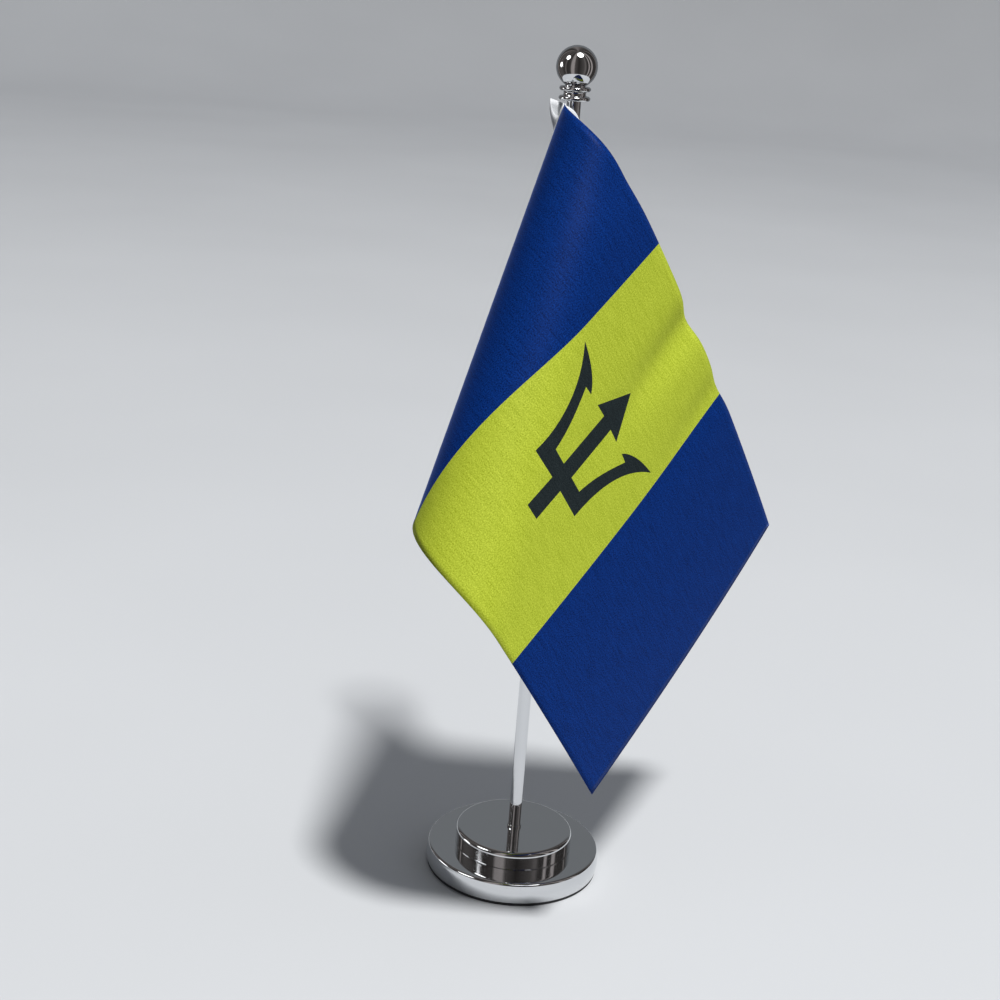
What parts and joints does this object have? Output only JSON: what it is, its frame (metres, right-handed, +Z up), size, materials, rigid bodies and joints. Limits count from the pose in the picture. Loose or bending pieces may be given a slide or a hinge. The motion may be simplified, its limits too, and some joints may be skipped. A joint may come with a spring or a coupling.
{
  "type": "desk flag stand",
  "caption": "Small rectangular flag in a cloth sleeve on a thin chrome pole with a ball finial, on a weighted round two-tier chrome base.",
  "frame": {"origin": "centre of the underside of the base, on the pole's axis, on the surface the stand rests on", "axes": "+Z up along the pole; -Y is the side the flag hangs towards, seen from the front; +X to the right"},
  "size_m": [0.1358, 0.13, 0.3243],
  "materials": {
    "chrome": "polished chrome plate",
    "steel": "plain zinc-plated steel",
    "cast_iron": "rough cast iron, black wash",
    "brass": "turned brass",
    "foam": "matt black foam rubber",
    "white_cloth": "white woven polyester",
    "flag_cloth": "printed satin polyester: blue, yellow and blue stripes with a black emblem"
  },
  "bodies": {
    "stand": {"foot_pad": "foam", "base_cover": "chrome", "base_weight": "cast_iron", "drum_cover": "chrome", "drum_weight": "cast_iron", "base_screw": "steel", "spring_washer": "steel", "flat_washer": "steel", "pole_collar": "chrome", "pole_tube": "chrome", "pole_foot_plug": "brass", "pole_head_plug": "brass"},
    "finial_stud": {"finial_stud": "steel"},
    "finial": {"finial_neck": "chrome", "finial_ball": "chrome"},
    "sleeve": {"flag_sleeve": "white_cloth"},
    "flag": {"flag_hem": "white_cloth", "flag_panel": "flag_cloth"}
  },
  "joints": [
    {"name": "finial_lift", "type": "slide", "parent": "stand", "child": "finial_stud", "axis": [0, 0, 1], "range_m": [0, 0.0081]},
    {"name": "finial_unscrew", "type": "hinge", "parent": "finial_stud", "child": "finial", "pos_m": [0, 0, 0.3052], "axis": [0, 0, 1], "range_deg": [0, 5760]},
    {"name": "flag_slide", "type": "slide", "parent": "stand", "child": "sleeve", "axis": [0, 0, 1], "range_m": [-0.065, 0]},
    {"name": "flag_swivel", "type": "hinge", "parent": "sleeve", "child": "flag", "pos_m": [0, 0, 0.235], "axis": [0, 0, 1], "continuous": true}
  ],
  "couplings": [
    {"joint": "finial_lift", "follows": "finial_unscrew", "m_per_rad": 0.000079577}
  ]
}
